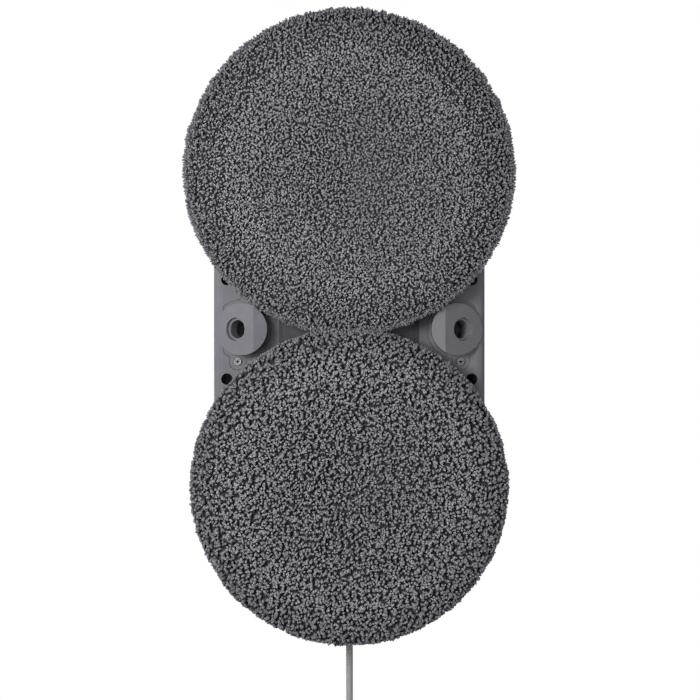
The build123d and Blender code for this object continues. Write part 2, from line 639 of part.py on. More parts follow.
POWER_TOP = POWER_BOARD_Z + 1.6
with BuildPart() as power_board:
    block((-49, 49), (-78, 78), (POWER_BOARD_Z, POWER_TOP))
    bars(BOARD_POSTS, 1.6, POWER_BOARD_Z, POWER_TOP, Mode.SUBTRACT)
    block((-20, 20), (-18, 18), (POWER_TOP, POWER_TOP + 30))
    bars([(-28, 40), (0, 44)], 10, POWER_TOP, POWER_TOP + 32)
    block((14, 40), (34, 38), (POWER_TOP, POWER_TOP + 26))
    block((-42, -28), (-16, 16), (POWER_TOP, POWER_TOP + 16))
    block((-40, -14), (-66, -54), (POWER_TOP, POWER_TOP + 14))
    block((8, 36), (-60, -50), (POWER_TOP, POWER_TOP + 10))
    bars([(28, -34)], 9, POWER_TOP, POWER_TOP + 12)
power_board.part.label = "power_board"
pieces.append(power_board)

with BuildPart() as control_board:
    block((-52, 52), (-108, -22), CONTROL_BOARD_Z)
    bars(BOSS_SPOTS, 1.6, *CONTROL_BOARD_Z, Mode.SUBTRACT)
    # push switches under the two buttons and the receiver behind the window
    for x, y in (START_SPOT, MODE_SPOT):
        block((x - 6, x + 6), (y - 6, y + 6), (CONTROL_BOARD_Z[1], 131))
        bars([(x, y)], 3.2, 130, 134)
    block((-45, -35), (-66, -58), (CONTROL_BOARD_Z[1], 138))
    block((-12, 8), (-52, -32), (CONTROL_BOARD_Z[0] - 3, CONTROL_BOARD_Z[0]))
    block((20, 32), (-96, -84), (CONTROL_BOARD_Z[0] - 3, CONTROL_BOARD_Z[0]))
control_board.part.label = "control_board"
pieces.append(control_board)

with BuildPart() as board_screws:
    pan_screws(BOARD_POSTS, POWER_TOP, -1, 5.5, 2, 2.5, 10)
    pan_screws(BOSS_SPOTS, CONTROL_BOARD_Z[0], 1, 5.5, 2, 2.5, 10)
board_screws.part.label = "board_screws"
pieces.append(board_screws)

with BuildPart() as wiring_loom:
    # mains supply from the gland, a flat ribbon between the boards, motor and sensor leads
    tube([(-257, 0, EXIT_Z), (-222, 0, EXIT_Z), (-195, 45, 54), (-150, 76, 48), (-100, 76, 46),
          (-70, 66, 54), (-49, 60, 66)], 6)
    block((12, 34), (-77, -75.8), (POWER_TOP, CONTROL_BOARD_Z[0]))
    for side in SIDES:
        tube([(side * 70, -22, 118), (side * 66, -37, 119), (side * 50, -48, 123)], 3)
        tube([(0, side * 94, 49.5), (0, side * 91, 54), (0, side * 79.5, 57)], 2.4)
wiring_loom.part.label = "wiring_loom"
pieces.append(wiring_loom)

# ---------------------------------------------------------------- handle and controls

with BuildPart() as carry_handle:
    with BuildSketch(Plane.XY.offset(HANDLE_PIVOT_Z - 6)):
        with Locations((0, HANDLE_REACH / 2)):
            Rectangle(2 * HANDLE_X, HANDLE_REACH)
        with Locations((0, HANDLE_REACH)):
            RectangleRounded(2 * HANDLE_X, 20, 9.9)
        with Locations((0, (HANDLE_REACH - 8) / 2 - 10)):
            RectangleRounded(2 * HANDLE_X - 28, HANDLE_REACH - 8 + 20, 8, mode=Mode.SUBTRACT)
    extrude(amount=12)
    # the arm ends are rounded about the hinge
    for side in SIDES:
        with Locations(Location((side * (HANDLE_X - 7), 0, HANDLE_PIVOT_Z), (0, 90, 0))):
            Cylinder(6, 14)
    grip = carry_handle.edges().filter_by(Axis.X).group_by(Axis.Y)[-1]
    fillet(grip, 4)
    with Locations(Location((0, 0, HANDLE_PIVOT_Z), (0, 90, 0))):
        Cylinder(3.05, 2 * HANDLE_X + 2, mode=Mode.SUBTRACT)
carry_handle.part.label = "carry_handle"
pieces.append(carry_handle)

with BuildPart() as handle_pins:
    for side in SIDES:
        centre = side * (HANDLE_X - 13 + RECESS_X + 8) / 2
        with Locations(Location((centre, 0, HANDLE_PIVOT_Z), (0, 90, 0))):
            Cylinder(3, RECESS_X + 8 - (HANDLE_X - 13))
handle_pins.part.label = "handle_pins"
pieces.append(handle_pins)

with BuildPart() as control_panel:
    with BuildSketch(Plane.XY.offset(ROOF_Z - 0.8)):
        with Locations(PANEL_SPOT):
            RectangleRounded(139.6, 49.6, 11.8)
        with Locations(START_SPOT):
            Circle(15, mode=Mode.SUBTRACT)
        with Locations(MODE_SPOT):
            Circle(8, mode=Mode.SUBTRACT)
        with Locations(WINDOW_SPOT):
            Circle(6, mode=Mode.SUBTRACT)
    extrude(amount=1.2)
control_panel.part.label = "control_panel"
pieces.append(control_panel)

with BuildPart() as status_ring:
    bars([START_SPOT], 15, CEILING_Z, ROOF_Z + 1)
    bars([START_SPOT], 11.4, CEILING_Z, ROOF_Z + 1, Mode.SUBTRACT)
    fillet(status_ring.faces().sort_by(Axis.Z)[-1].edges(), 0.4)
status_ring.part.label = "status_ring"
pieces.append(status_ring)

with BuildPart() as remote_window:
    bars([WINDOW_SPOT], 6, CEILING_Z, ROOF_Z + 0.8)
    fillet(remote_window.faces().sort_by(Axis.Z)[-1].edges(), 0.5)
remote_window.part.label = "remote_window"
pieces.append(remote_window)


def button(spot, radius):
    """A push button of the open part: cap, retaining flange under the roof, and stem."""
    bars([spot], radius, CEILING_Z - 3, ROOF_Z + 2.6)
    fillet(faces().sort_by(Axis.Z)[-1].edges(), 1.2)
    bars([spot], radius + 2.5, CEILING_Z - 3, CEILING_Z - 1.4)
    bars([spot], 3, 137, CEILING_Z - 3)


with BuildPart() as start_button:
    button(START_SPOT, 11)
start_button.part.label = "start_button"
pieces.append(start_button)

with BuildPart() as mode_button:
    button(MODE_SPOT, 7.6)
mode_button.part.label = "mode_button"
pieces.append(mode_button)

ROCKER_R = 11
ROCKER_TILT = 10
ROCKER_Z = ROOF_Z - 1
rocker_axle = Location((ROCKER_X, 0, ROCKER_Z), (90, 0, 0))
with BuildPart() as rocker_frame:
    block((ROCKER_X - 17, ROCKER_X + 17), (-12, 12), (ROOF_Z, ROOF_Z + 1.6))
    fillet(rocker_frame.edges().filter_by(Axis.Z), 3)
    block((ROCKER_X - 14.2, ROCKER_X + 14.2), (-9.2, 9.2), (ROOF_Z - 16, ROOF_Z))
    with Locations(rocker_axle):
        Cylinder(ROCKER_R + 0.5, 14.8, mode=Mode.SUBTRACT)
        Cylinder(1.55, 17.6, mode=Mode.SUBTRACT)
    block((ROCKER_X - 11.5, ROCKER_X + 11.5), (-7.4, 7.4), (ROCKER_Z, ROOF_Z + 2), Mode.SUBTRACT)
    for y in (-5, 5):
        block((ROCKER_X - 9, ROCKER_X - 3), (y - 0.4, y + 0.4), (ROOF_Z - 22, ROOF_Z - 16))
rocker_frame.part.label = "rocker_frame"
pieces.append(rocker_frame)

# drawn about its own axle, then tilted: at rest it is off
with BuildPart() as rocker_shape:
    with Locations(Location((0, 0, 0), (90, 0, 0))):
        Cylinder(ROCKER_R, 14)
        Cylinder(1.5, 17.2)
    valley, rise = 2.2, 15 * tan(radians(ROCKER_TILT))
    with BuildSketch(Plane.XZ.offset(-10)):
        with BuildLine():
            Polyline(
                (0, valley),
                (15, valley + rise),
                (15, 20),
                (-15, 20),
                (-15, valley + rise),
                close=True,
            )
        make_face()
    extrude(amount=20, mode=Mode.SUBTRACT)
    block((-15, 15), (-10, 10), (-12, -6), Mode.SUBTRACT)
with BuildPart() as power_rocker:
    with Locations(Location((ROCKER_X, 0, ROCKER_Z), (0, -ROCKER_TILT, 0))):
        add(rocker_shape.part)
power_rocker.part.label = "power_rocker"
pieces.append(power_rocker)

with BuildPart() as rating_plate:
    block((90, 160), (CASING_W / 2, CASING_W / 2 + 0.6), (50, 70))
    fillet(rating_plate.edges().filter_by(Axis.Y), 2)
rating_plate.part.label = "rating_plate"
pieces.append(rating_plate)

# ---------------------------------------------------------------- mains lead

GLAND_FACE_X = -CASING_L / 2 - 1.5
with BuildPart() as cord_gland:
    with BuildSketch(Plane.XZ):
        with BuildLine():
            Polyline(
                (GLAND_TIP_X, EXIT_Z),
                (GLAND_TIP_X, EXIT_Z + 4.7),
                (GLAND_FACE_X - 3, EXIT_Z + 7),
                (GLAND_FACE_X - 3, EXIT_Z + 9.5),
                (GLAND_FACE_X, EXIT_Z + 9.5),
                (GLAND_FACE_X, EXIT_Z + 6),
                (-260.5, EXIT_Z + 6),
                (-260.5, EXIT_Z + 8),
                (-257, EXIT_Z + 7),
                (-257, EXIT_Z),
                close=True,
            )
        make_face()
    revolve(axis=Axis((0, 0, EXIT_Z), (1, 0, 0)))
    # flexing grooves round the strain relief
    for groove in range(5):
        with BuildSketch(Plane.YZ.offset(GLAND_TIP_X + 3 + 4.4 * groove)):
            with Locations((0, EXIT_Z)):
                Circle(12)
                Circle(4.2, mode=Mode.SUBTRACT)
        extrude(amount=1.6, mode=Mode.SUBTRACT)
cord_gland.part.label = "cord_gland"
pieces.append(cord_gland)

# from the gland, down to the floor, then straight into the outermost turn of the coil
CORD_ROUTE = [
    (GLAND_TIP_X, 0, EXIT_Z),
    (-330, 0, EXIT_Z),
    (-368, 0, 48),
    (-406, 0, 24),
    (-446, 0, 5.5),
    (-486, 0.6, 4.6),
    (COIL_X + 4, 0, 4.5),
]
with BuildPart() as mains_cord:
    cord_length = tube(CORD_ROUTE, CORD_D)
mains_cord.part.label = "mains_cord"
pieces.append(mains_cord)

with BuildPart() as cord_coil:
    with BuildSketch(Plane.XZ):
        with Locations((COIL_X + (COIL_INNER_TURN + COIL_OUTER_TURN) / 2, (COIL_BASE + COIL_TOP) / 2)):
            RectangleRounded(4 * COIL_PITCH, COIL_TOP - COIL_BASE, 3.5)
    revolve(axis=Axis((COIL_X, 0, 0), (0, 0, 1)))
with BuildPart() as placed_coil:
    with Locations((0, COIL_Y, 0)):
        add(cord_coil.part)
placed_coil.part.label = "cord_coil"
pieces.append(placed_coil)

# the tail leaves the top layer on the far side and turns down to the plug
PLUG_X = COIL_X + 66
PLUG_Y = COIL_Y + COIL_OUTER_TURN
PLUG_Z = 8
TAIL_ROUTE = [
    (COIL_X - 2, PLUG_Y, COIL_TOP - 4),
    (COIL_X + 18, PLUG_Y, COIL_TOP - 5),
    (COIL_X + 42, PLUG_Y, 12),
    (PLUG_X, PLUG_Y, PLUG_Z),
]
with BuildPart() as cord_tail:
    tube(TAIL_ROUTE, CORD_D)
cord_tail.part.label = "cord_tail"
pieces.append(cord_tail)

PLUG_TAIL = 16
PLUG_L = 34
with BuildPart() as mains_plug:
    with BuildSketch(Plane.YZ.offset(PLUG_X)):
        with Locations((PLUG_Y, PLUG_Z)):
            Circle(4.6)
    with BuildSketch(Plane.YZ.offset(PLUG_X + PLUG_TAIL)):
        with Locations((PLUG_Y, PLUG_Z)):
            Circle(6)
    loft()
    with BuildSketch(Plane.YZ.offset(PLUG_X + PLUG_TAIL)):
        with Locations((PLUG_Y, PLUG_Z)):
            RectangleRounded(20, 13, 6)
    with BuildSketch(Plane.YZ.offset(PLUG_X + PLUG_TAIL + PLUG_L)):
        with Locations((PLUG_Y, PLUG_Z)):
            RectangleRounded(36, 16, 7.5)
    loft()
mains_plug.part.label = "mains_plug"
pieces.append(mains_plug)

with BuildPart() as plug_pins:
    face_x = PLUG_X + PLUG_TAIL + PLUG_L
    for side in SIDES:
        with BuildSketch(Plane.YZ.offset(face_x)):
            with Locations((PLUG_Y + side * 9.5, PLUG_Z)):
                Circle(2.4)
        extrude(amount=19)
    fillet(plug_pins.faces().sort_by(Axis.X)[-2:].edges(), 1.5)
plug_pins.part.label = "plug_pins"
pieces.append(plug_pins)

TIE_T = 1.2
with BuildPart() as cord_tie:
    outer_x = COIL_X - COIL_OUTER_TURN - COIL_PITCH / 2 - TIE_T
    inner_x = COIL_X - COIL_INNER_TURN + COIL_PITCH / 2 + TIE_T
    block((outer_x, inner_x), (COIL_Y - 8, COIL_Y + 8), (0, COIL_TOP + TIE_T))
    fillet(cord_tie.edges().filter_by(Axis.Y), 2.5)
    add(placed_coil.part, mode=Mode.SUBTRACT)
cord_tie.part.label = "cord_tie"
pieces.append(cord_tie)

# ---------------------------------------------------------------- write

os.makedirs("parts", exist_ok=True)
for piece in pieces:
    export_step(piece.part, f"parts/{piece.part.label}.step")

print("cord corner radii", [round(r) for r in corner_radii(CORD_ROUTE)])
print("tail corner radii", [round(r) for r in corner_radii(TAIL_ROUTE)])
turn_r = (COIL_INNER_TURN + COIL_OUTER_TURN) / 2
print("cord from gland to coil", round(cord_length), "mm, and a turn", round(2 * pi * turn_r), "mm")
print(len(pieces), "nodes")
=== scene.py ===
"""Looks of the twin-disc robotic floor cleaner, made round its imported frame, in metres.

+Z is up and the floor is z = 0. The two pads lie along X, and the mains lead leaves at -X.
"""
import json
import math

import bpy
import numpy as np
from mathutils import Matrix, Vector, kdtree


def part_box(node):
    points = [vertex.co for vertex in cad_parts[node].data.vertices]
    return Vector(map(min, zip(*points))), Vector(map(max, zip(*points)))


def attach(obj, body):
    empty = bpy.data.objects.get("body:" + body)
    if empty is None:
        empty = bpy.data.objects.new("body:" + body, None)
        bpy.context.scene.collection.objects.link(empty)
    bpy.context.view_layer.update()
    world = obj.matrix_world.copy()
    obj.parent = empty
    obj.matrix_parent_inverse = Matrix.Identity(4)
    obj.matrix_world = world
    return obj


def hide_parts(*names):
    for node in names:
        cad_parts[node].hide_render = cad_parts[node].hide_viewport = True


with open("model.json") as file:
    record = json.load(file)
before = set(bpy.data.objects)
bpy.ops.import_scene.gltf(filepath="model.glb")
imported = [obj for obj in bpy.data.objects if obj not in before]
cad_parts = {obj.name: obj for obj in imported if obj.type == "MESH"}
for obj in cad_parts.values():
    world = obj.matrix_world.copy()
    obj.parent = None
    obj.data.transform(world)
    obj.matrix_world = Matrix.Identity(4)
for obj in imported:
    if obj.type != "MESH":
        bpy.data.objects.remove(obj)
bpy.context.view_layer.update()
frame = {"nodes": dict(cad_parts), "record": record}

MM = 0.001

# ---------------------------------------------------------------- camera

CAMERA_DEPTH = 2.0
VIEW_WIDTH = 0.663
VIEW_CENTRE = (-0.0199, 0.0007)
SENSOR = 36


def place_camera():
    """Looks straight up at the underside, with -Y to the left and +X at the top."""
    data = bpy.data.cameras.new("underside_camera")
    data.sensor_width = SENSOR
    data.lens = SENSOR * CAMERA_DEPTH / VIEW_WIDTH
    camera = bpy.data.objects.new("underside_camera", data)
    bpy.context.scene.collection.objects.link(camera)
    camera.matrix_world = Matrix(
        (
            (0, 1, 0, VIEW_CENTRE[0]),
            (1, 0, 0, VIEW_CENTRE[1]),
            (0, 0, -1, -CAMERA_DEPTH),
            (0, 0, 0, 1),
        )
    )
    bpy.context.scene.camera = camera


place_camera()

# ---------------------------------------------------------------- mains lead

CORD_D = 0.007
LEAD_ROUTE = [
    (-0.296, 0, 0.060),
    (-0.330, 0, 0.060),
    (-0.368, 0, 0.048),
    (-0.406, 0, 0.024),
    (-0.446, 0, 0.0055),
    (-0.486, 0.0006, 0.0046),
]
TAIL_ROUTE = [
    (-0.507, 0.1113, 0.0252),
    (-0.483, 0.1113, 0.012),
    (-0.459, 0.1113, 0.008),
]
COIL_CENTRE = (-0.525, 0.05565)
COIL_RADII = (0.05565, 0.04835, 0.04105, 0.03375)
COIL_LAYERS = 4
COIL_TURNS = COIL_LAYERS * len(COIL_RADII) - 0.5
LAYER_HEIGHT = 0.0073
FIRST_LAYER_Z = 0.00465
POINTS_PER_TURN = 24
CROSSING_SHARE = 0.22
TURN_WAVER = 0.00015


def coil_points():
    """The wound turns: each layer runs across the last one, from the outside in and back out.

    A turn keeps its radius, then moves over to the next one in its last stretch."""
    seats = []
    for layer in range(COIL_LAYERS):
        radii = COIL_RADII if layer % 2 == 0 else COIL_RADII[::-1]
        seats += [(radius, FIRST_LAYER_Z + layer * LAYER_HEIGHT) for radius in radii]
    points = []
    for step in range(int(COIL_TURNS * POINTS_PER_TURN) + 1):
        turns = step / POINTS_PER_TURN
        here = min(int(turns), len(seats) - 1)
        after = min(here + 1, len(seats) - 1)
        share = max(0.0, (turns - here - 1 + CROSSING_SHARE) / CROSSING_SHARE)
        ease = share * share * (3 - 2 * share)
        radius = seats[here][0] + (seats[after][0] - seats[here][0]) * ease
        height = seats[here][1] + (seats[after][1] - seats[here][1]) * ease
        angle = -math.pi / 2 - 2 * math.pi * turns
        radius += TURN_WAVER * math.sin(3 * angle + here)
        points.append(
            (
                COIL_CENTRE[0] + radius * math.cos(angle),
                COIL_CENTRE[1] + radius * math.sin(angle),
                height,
            )
        )
    return points


def mains_lead():
    """One cord on a smooth spline: from the gland to the floor, round the coil, and on to the plug."""
    data = bpy.data.curves.new("mains_lead", "CURVE")
    data.dimensions = "3D"
    data.bevel_depth = 1.0
    data.bevel_resolution = 4
    data.resolution_u = 4
    data.use_fill_caps = True
    points = LEAD_ROUTE + coil_points() + TAIL_ROUTE
    spline = data.splines.new("NURBS")
    spline.points.add(len(points) - 1)
    for point, place in zip(spline.points, points, strict=True):
        point.co = (*place, 1)
        point.radius = CORD_D / 2
    spline.order_u = 3
    spline.use_endpoint_u = True
    cord = bpy.data.objects.new("mains_lead", data)
    bpy.context.scene.collection.objects.link(cord)
    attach(cord, "casing")
    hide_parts("mains_cord", "cord_coil", "cord_tail")
    return cord


lead = mains_lead()

# ---------------------------------------------------------------- shader effects


def node(tree, kind, inputs=None, **settings):
    """A node of the tree, with its settings, and with its inputs linked or given a value."""
    made = tree.nodes.new("ShaderNode" + kind)
    for key, value in settings.items():
        setattr(made, key, value)
    for key, value in (inputs or {}).items():
        if isinstance(value, bpy.types.NodeSocket):
            tree.links.new(value, made.inputs[key])
        else:
            made.inputs[key].default_value = value
    return made


def mixed(tree, share, first, second, blend="MIX"):
    """The colour between first and second."""
    made = node(tree, "Mix", data_type="RGBA", blend_type=blend)
    for index, value in ((0, share), (6, first), (7, second)):
        if isinstance(value, bpy.types.NodeSocket):
            tree.links.new(value, made.inputs[index])
        else:
            made.inputs[index].default_value = value
    return made.outputs[2]


def maths(tree, operation, first, second=0.0):
    return node(tree, "Math", {0: first, 1: second}, operation=operation).outputs[0]


def between(tree, value, low, high, low_out, high_out):
    """Value from low to high, spread smoothly over low_out to high_out."""
    inputs = {"Value": value, 1: low, 2: high, 3: low_out, 4: high_out}
    return node(tree, "MapRange", inputs, interpolation_type="SMOOTHSTEP").outputs[0]


def noise(tree, place, scale, detail=2.0, rough=0.5, distortion=0.0):
    inputs = {"Vector": place, "Scale": scale, "Detail": detail}
    inputs |= {"Roughness": rough, "Distortion": distortion}
    return node(tree, "TexNoise", inputs).outputs[0]


def shaded(tree, colour, level):
    """The colour made lighter or darker by a level that varies about 1."""
    tint = node(tree, "CombineColor", {0: level, 1: level, 2: level}).outputs[0]
    return mixed(tree, 1.0, colour, tint, "MULTIPLY")


def bump(tree, height, depth, normal=None):
    """The normal over a height pattern of the given depth."""
    inputs = {"Height": height, "Distance": depth, "Strength": 1.0}
    if normal is not None:
        inputs["Normal"] = normal
    return node(tree, "Bump", inputs).outputs[0]


GIVES = {"Base Color": "NodeSocketColor", "Roughness": "NodeSocketFloat", "Normal": "NodeSocketVector"}


def effect(name, takes):
    """A shader effect group with named inputs, the sockets of its two ends, and the object's space."""
    tree = bpy.data.node_groups.new(name, "ShaderNodeTree")
    for label, value in takes.items():
        kind = "NodeSocketColor" if isinstance(value, tuple) else "NodeSocketFloat"
        tree.interface.new_socket(label, in_out="INPUT", socket_type=kind).default_value = value
    for label, kind in GIVES.items():
        tree.interface.new_socket(label, in_out="OUTPUT", socket_type=kind)
    start = tree.nodes.new("NodeGroupInput").outputs
    end = tree.nodes.new("NodeGroupOutput").inputs
    place = node(tree, "TexCoord").outputs["Object"]
    return tree, start, end, place


GREY = (0.5, 0.5, 0.5, 1.0)
WHITE = (1.0, 1.0, 1.0, 1.0)
DUST_GREY = (0.6, 0.6, 0.58, 1.0)
TARNISH_BROWN = (0.16, 0.14, 0.12, 1.0)
# Near-black used for painted shade in the crevices of metal parts.
CREVICE_SHADE_BLACK = (0.015, 0.014, 0.013, 1.0)


def moulded_plastic():
    """Injection-moulded surface: spark-eroded grain, blotches, rubbed edges, and a film of dust."""
    takes = {"Colour": GREY, "Grain Scale": 1500.0, "Grain Depth": 0.00004, "Roughness": 0.5}
    takes |= {"Edge Radius": 0.0004, "Rub": 0.3, "Dust": 0.2}
    tree, start, end, place = effect("moulded_plastic", takes)
    grain = noise(tree, place, start["Grain Scale"], 3.0, 0.6)
    blotch = noise(tree, place, 14.0, 4.0, 0.6)
    dust = between(tree, noise(tree, place, 65.0, 6.0, 0.7, 0.4), 0.45, 0.75, 0.0, 1.0)
    rounded = node(tree, "Bevel", {"Radius": start["Edge Radius"]}, samples=4).outputs[0]
    flat = node(tree, "NewGeometry").outputs["Normal"]
    along = node(tree, "VectorMath", {0: rounded, 1: flat}, operation="DOT_PRODUCT").outputs["Value"]
    edge = between(tree, along, 0.995, 0.86, 0.0, 1.0)
    rub = maths(tree, "MULTIPLY", edge, start["Rub"])
    tint = between(tree, blotch, 0.3, 0.7, 0.94, 1.06)
    speckle = between(tree, grain, 0.25, 0.75, 0.93, 1.07)
    base = shaded(tree, start["Colour"], maths(tree, "MULTIPLY", tint, speckle))
    worn = mixed(tree, rub, base, mixed(tree, 0.45, base, WHITE))
    film = maths(tree, "MULTIPLY", dust, start["Dust"])
    dusty = mixed(tree, maths(tree, "MULTIPLY", film, 0.25), worn, DUST_GREY)
    tree.links.new(dusty, end["Base Color"])
    rough = maths(tree, "ADD", start["Roughness"], maths(tree, "MULTIPLY", film, 0.3))
    varied = maths(tree, "ADD", rough, between(tree, blotch, 0.3, 0.7, -0.04, 0.04))
    polished = maths(tree, "SUBTRACT", varied, maths(tree, "MULTIPLY", rub, 0.12))
    tree.links.new(polished, end["Roughness"])
    tree.links.new(bump(tree, grain, start["Grain Depth"], rounded), end["Normal"])
    return tree


def worked_metal():
    """Turned, ground or plated metal: fine lines one way, tarnish in blotches, bright edges, and
    painted shade in its crevices.
    """
    takes = {"Colour": GREY, "Line Scale": 900.0, "Line Depth": 0.00001}
    takes |= {"Roughness": 0.3, "Tarnish": 0.2}
    tree, start, end, place = effect("worked_metal", takes)
    stretched = node(tree, "Mapping", {"Vector": place, "Scale": (1.0, 1.0, 0.06)}).outputs[0]
    lines = noise(tree, stretched, start["Line Scale"], 3.0, 0.6)
    cloud = between(tree, noise(tree, place, 120.0, 5.0, 0.6), 0.4, 0.7, 0.0, 1.0)
    tarnish = maths(tree, "MULTIPLY", cloud, start["Tarnish"])
    dull = mixed(tree, 0.6, start["Colour"], TARNISH_BROWN)
    # Ambient occlusion turns the colour near-black in crevices and recesses: painted shade.
    occlusion = node(tree, "AmbientOcclusion", {"Distance": 0.002}, samples=8, only_local=True)
    painted_crevice_shade = between(tree, occlusion.outputs["AO"], 0.9, 0.55, 0.0, 1.0)
    clean = mixed(tree, tarnish, start["Colour"], dull)
    tree.links.new(mixed(tree, painted_crevice_shade, clean, CREVICE_SHADE_BLACK), end["Base Color"])
    spread = between(tree, lines, 0.3, 0.7, -0.08, 0.1)
    rough = maths(tree, "ADD", start["Roughness"], spread)
    tree.links.new(maths(tree, "ADD", rough, maths(tree, "MULTIPLY", tarnish, 0.3)), end["Roughness"])
    rounded = node(tree, "Bevel", {"Radius": 0.00025}, samples=4).outputs[0]
    tree.links.new(bump(tree, lines, start["Line Depth"], rounded), end["Normal"])
    return tree


def twisted_yarn():
    """Microfibre yarn: painted shade at the roots and a painted highlight at the tips, a tone for each
    finger, and fuzzy fibres.
    """
    takes = {"Root Shade Colour": GREY, "Body Colour": GREY, "Tip Highlight Colour": GREY}
    takes |= {"Fibre Scale": 2500.0, "Fibre Depth": 0.0002}
    tree, start, end, place = effect("twisted_yarn", takes)
    reach = node(tree, "Attribute", attribute_name="reach").outputs["Fac"]
    tone = node(tree, "Attribute", attribute_name="tone").outputs["Fac"]
    fibre = noise(tree, place, start["Fibre Scale"], 3.0, 0.7)
    # Roots darker as painted shade deep in the pile, tips lighter as a painted highlight.
    grown = between(tree, reach, 0.1, 0.6, 0.0, 1.0)
    body = mixed(tree, grown, start["Root Shade Colour"], start["Body Colour"])
    colour = mixed(tree, between(tree, reach, 0.72, 1.0, 0.0, 1.0), body, start["Tip Highlight Colour"])
    level = maths(tree, "MULTIPLY", tone, between(tree, fibre, 0.25, 0.75, 0.7, 1.3))
    tree.links.new(shaded(tree, colour, level), end["Base Color"])
    tree.links.new(between(tree, fibre, 0.3, 0.7, 0.6, 0.85), end["Roughness"])
    tree.links.new(bump(tree, fibre, start["Fibre Depth"]), end["Normal"])
    return tree


def woven_tape():
    """Plain weave of two crossing thread sets, with a light fuzz."""
    takes = {"Colour": GREY, "Thread Scale": 900.0, "Thread Depth": 0.0002}
    tree, start, end, place = effect("woven_tape", takes)
    heights = []
    for direction in ("X", "Y", "Z"):
        inputs = {"Vector": place, "Scale": start["Thread Scale"], "Distortion": 0.6, "Detail": 1.0}
        threads = node(tree, "TexWave", inputs, wave_type="BANDS", bands_direction=direction)
        heights.append(threads.outputs["Fac"])
    crossing = maths(tree, "MAXIMUM", maths(tree, "MAXIMUM", heights[0], heights[1]), heights[2])
    fuzz = noise(tree, place, 3000.0, 2.0, 0.7)
    cloth = maths(tree, "ADD", crossing, maths(tree, "MULTIPLY", fuzz, 0.3))
    level = between(tree, cloth, 0.3, 1.2, 0.55, 1.25)
    tree.links.new(shaded(tree, start["Colour"], level), end["Base Color"])
    tree.links.new(between(tree, fuzz, 0.3, 0.7, 0.7, 0.9), end["Roughness"])
    tree.links.new(bump(tree, cloth, start["Thread Depth"]), end["Normal"])
    return tree


def wound_wire():
    """Enamelled wire laid turn by turn, or copper tracks under solder mask."""
    takes = {"Colour": GREY, "Line Colour": GREY, "Wire Scale": 400.0, "Wire Depth": 0.0002}
    tree, start, end, place = effect("wound_wire", takes)
    inputs = {"Vector": place, "Scale": start["Wire Scale"], "Distortion": 1.5, "Detail": 2.0}
    bands = node(tree, "TexWave", inputs, wave_type="BANDS", bands_direction="DIAGONAL")
    turns = bands.outputs["Fac"]
    line = between(tree, turns, 0.55, 0.7, 0.0, 1.0)
    tree.links.new(mixed(tree, line, start["Colour"], start["Line Colour"]), end["Base Color"])
    tree.links.new(between(tree, turns, 0.0, 1.0, 0.45, 0.28), end["Roughness"])
    tree.links.new(bump(tree, turns, start["Wire Depth"]), end["Normal"])
    return tree


PLASTIC = moulded_plastic()
METAL = worked_metal()
YARN = twisted_yarn()
WEAVE = woven_tape()
WIRE = wound_wire()

# ---------------------------------------------------------------- materials


def grey(level, blue=0.12):
    """A near-neutral colour, a little to the blue."""
    return (level, level, level * (1 + blue), 1.0)


def finish(name, look, values, shader):
    """A material: an effect group, with its values, feeds a Principled BSDF that has its own."""
    material = bpy.data.materials.new(name)
    material.use_nodes = True
    tree = material.node_tree
    tree.nodes.clear()
    group = node(tree, "Group", node_tree=look)
    for label, value in values.items():
        group.inputs[label].default_value = value
    links = {output.name: output for output in group.outputs}
    surface = node(tree, "BsdfPrincipled", links | shader)
    node(tree, "OutputMaterial", {"Surface": surface.outputs[0]})
    return material


def plastic(name, colour, rough, rub=0.3, dust=0.2, depth=0.04, **shader):
    """Moulded plastic, its grain depth in mm. Shader values are named as their sockets, with _."""
    values = {"Colour": colour, "Roughness": rough, "Rub": rub, "Dust": dust}
    values["Grain Depth"] = depth * MM
    sockets = {key.replace("_", " "): value for key, value in shader.items()}
    return finish(name, PLASTIC, values, sockets)


def metal(name, colour, rough, tarnish=0.2, depth=0.01):
    values = {"Colour": colour, "Roughness": rough, "Tarnish": tarnish, "Line Depth": depth * MM}
    return finish(name, METAL, values, {"Metallic": 1.0})


def yarn(name, root_shade, body, tip_highlight):
    values = {"Root Shade Colour": grey(root_shade), "Body Colour": grey(body), "Tip Highlight Colour": grey(tip_highlight)}
    shader = {"Sheen Weight": 0.25, "Sheen Roughness": 0.4, "Specular IOR Level": 0.35}
    return finish(name, YARN, values, shader)


def weave(name, colour, scale, depth):
    values = {"Colour": colour, "Thread Scale": scale, "Thread Depth": depth * MM}
    return finish(name, WEAVE, values, {"Sheen Weight": 0.3, "Specular IOR Level": 0.2})


def wire(name, colour, line, scale, metallic):
    values = {"Colour": colour, "Line Colour": line, "Wire Scale": scale}
    return finish(name, WIRE, values, {"Metallic": metallic})


OFF_WHITE = (0.55, 0.55, 0.54, 1.0)
RING_BLUE = (0.62, 0.7, 0.76, 1.0)
RING_GLOW = (0.65, 0.85, 1.0, 1.0)
LENS_BLACK = (0.004, 0.002, 0.005, 1.0)
BRASS = (0.66, 0.46, 0.17, 1.0)
NYLON = (0.62, 0.59, 0.5, 1.0)
DARK_COPPER = (0.35, 0.11, 0.05, 1.0)
BRIGHT_COPPER = (0.6, 0.24, 0.1, 1.0)
BOARD_GREEN = (0.01, 0.08, 0.03, 1.0)
TRACK_GREEN = (0.03, 0.17, 0.07, 1.0)
PAPER_WHITE = (0.8, 0.8, 0.79, 1.0)

